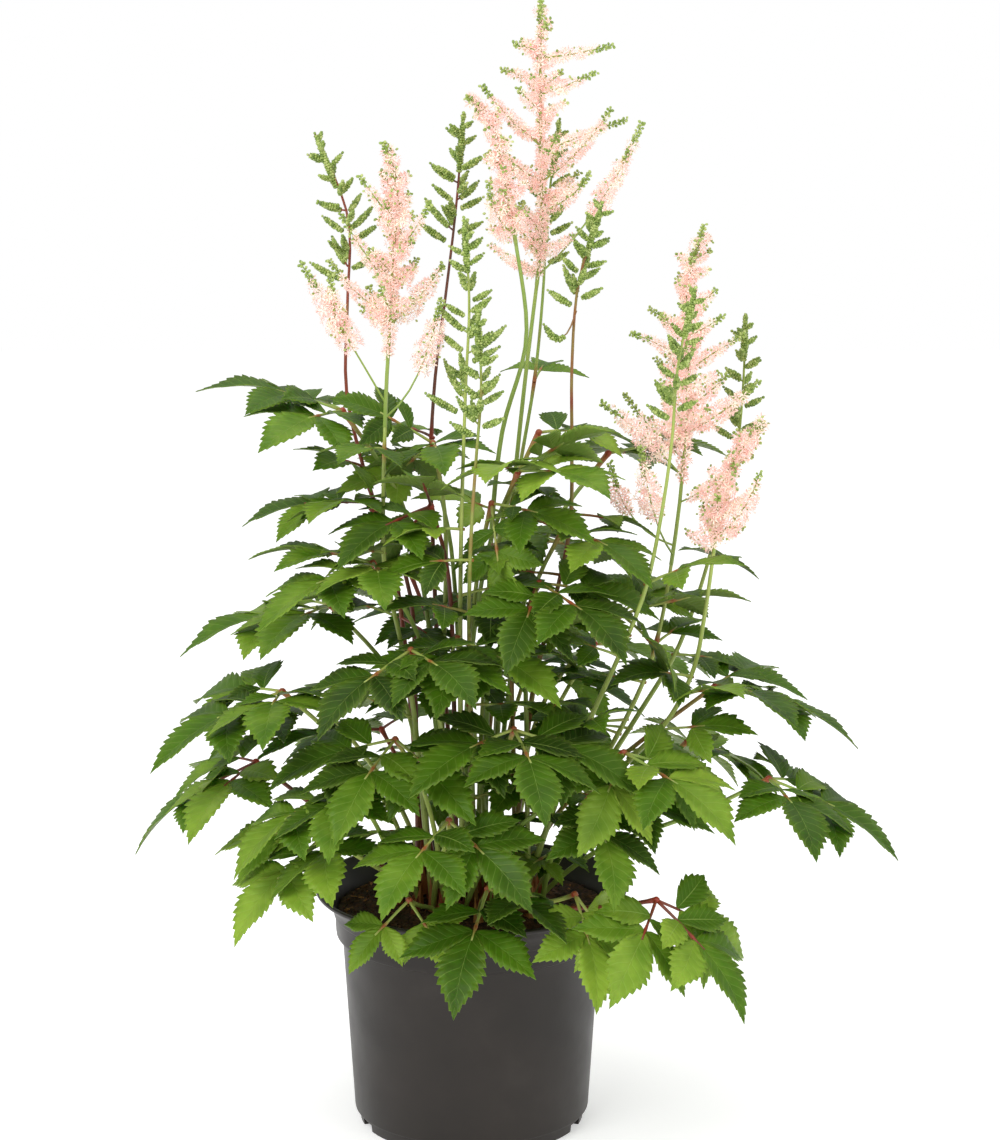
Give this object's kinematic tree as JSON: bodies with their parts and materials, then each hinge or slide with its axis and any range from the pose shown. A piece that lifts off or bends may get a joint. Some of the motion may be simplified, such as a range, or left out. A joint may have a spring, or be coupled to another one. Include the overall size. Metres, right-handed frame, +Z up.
{
  "type": "astilbe plant",
  "caption": "Potted astilbe with toothed compound leaves, five plumes of pale pink florets and eight spikes of green buds in a round grey nursery pot.",
  "frame": {"origin": "centre of the underside of the pot", "axes": "+Z up along the plant, +X to the right and -Y towards the viewer of the picture"},
  "size_m": [0.4594, 0.3619, 0.6826],
  "materials": {
    "pot_plastic": "satin",
    "potting_soil": "rough peat",
    "leaf_green": "glossy leaf",
    "stem_green": "satin",
    "bud_green": "matt",
    "petal_pink": "matt"
  },
  "bodies": {
    "root": {"leaf_01_top": "leaf_green", "leaf_02_top": "leaf_green", "leaf_03_top": "leaf_green", "leaf_04_top": "leaf_green", "leaf_05_upper": "leaf_green", "leaf_06_upper": "leaf_green", "leaf_07_upper": "leaf_green", "leaf_08_upper": "leaf_green", "leaf_09_upper": "leaf_green", "leaf_10_upper": "leaf_green", "leaf_11_upper": "leaf_green", "leaf_12_middle": "leaf_green", "leaf_13_middle": "leaf_green", "leaf_14_middle": "leaf_green", "leaf_15_middle": "leaf_green", "leaf_16_middle": "leaf_green", "leaf_17_middle": "leaf_green", "leaf_18_middle": "leaf_green", "leaf_19_low": "leaf_green", "leaf_20_low": "leaf_green", "leaf_21_low": "leaf_green", "leaf_22_low": "leaf_green", "leaf_23_low": "leaf_green", "leaf_24_low": "leaf_green", "leaf_25_low": "leaf_green", "leaf_26_low": "leaf_green", "leaf_27_low": "leaf_green", "leaf_28_top": "leaf_green", "leaf_29_top": "leaf_green", "leaf_30_top": "leaf_green", "leaf_31_top": "leaf_green", "leaf_32_upper": "leaf_green", "leaf_33_upper": "leaf_green", "leaf_34_upper": "leaf_green", "leaf_35_middle": "leaf_green", "leaf_36_middle": "leaf_green", "leaf_37_middle": "leaf_green", "leaf_38_middle": "leaf_green", "leaf_39_upper": "leaf_green", "leaf_40_middle": "leaf_green", "plume_left_pink": "petal_pink", "plume_right_low_pink": "petal_pink", "plume_right_pink": "petal_pink", "plume_tall": "petal_pink", "plume_tall_left": "petal_pink", "pot": "pot_plastic", "soil": "potting_soil", "stem_back_buds": "bud_green", "stem_far_right_buds": "bud_green", "stem_front_buds": "bud_green", "stem_left_buds": "bud_green", "stem_left_pink": "stem_green", "stem_middle_buds": "bud_green", "stem_middle_left_buds": "bud_green", "stem_right_front_buds": "bud_green", "stem_right_low_pink": "stem_green", "stem_right_middle_buds": "bud_green", "stem_right_pink": "stem_green", "stem_tall": "stem_green", "stem_tall_left": "stem_green"}
  },
  "joints": []
}
